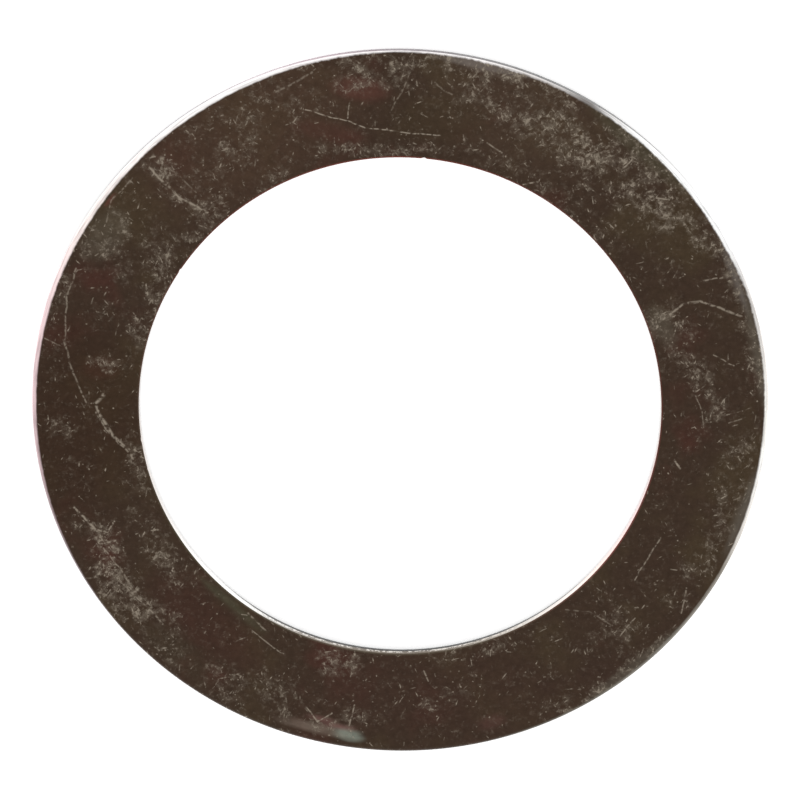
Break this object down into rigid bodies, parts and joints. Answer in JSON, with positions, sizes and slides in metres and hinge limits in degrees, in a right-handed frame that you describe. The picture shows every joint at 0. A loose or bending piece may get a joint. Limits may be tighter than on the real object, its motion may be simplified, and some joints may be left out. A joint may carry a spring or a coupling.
{
  "type": "washer",
  "caption": "Flat thin round washer stamped from bright steel sheet, with a wide bore, a rolled outer edge and sheared walls.",
  "frame": {"origin": "centre of the bore on the underside, the face that the washer lies on", "axes": "+Z is the bore axis, out of the upper face, whose outer edge is the rolled one"},
  "size_m": [0.024, 0.024, 0.0005],
  "materials": {
    "plated_steel": "bright plated, scuffed, seen dark brown, with a bright edge"
  },
  "bodies": {
    "root": {"washer": "plated_steel"}
  },
  "joints": []
}
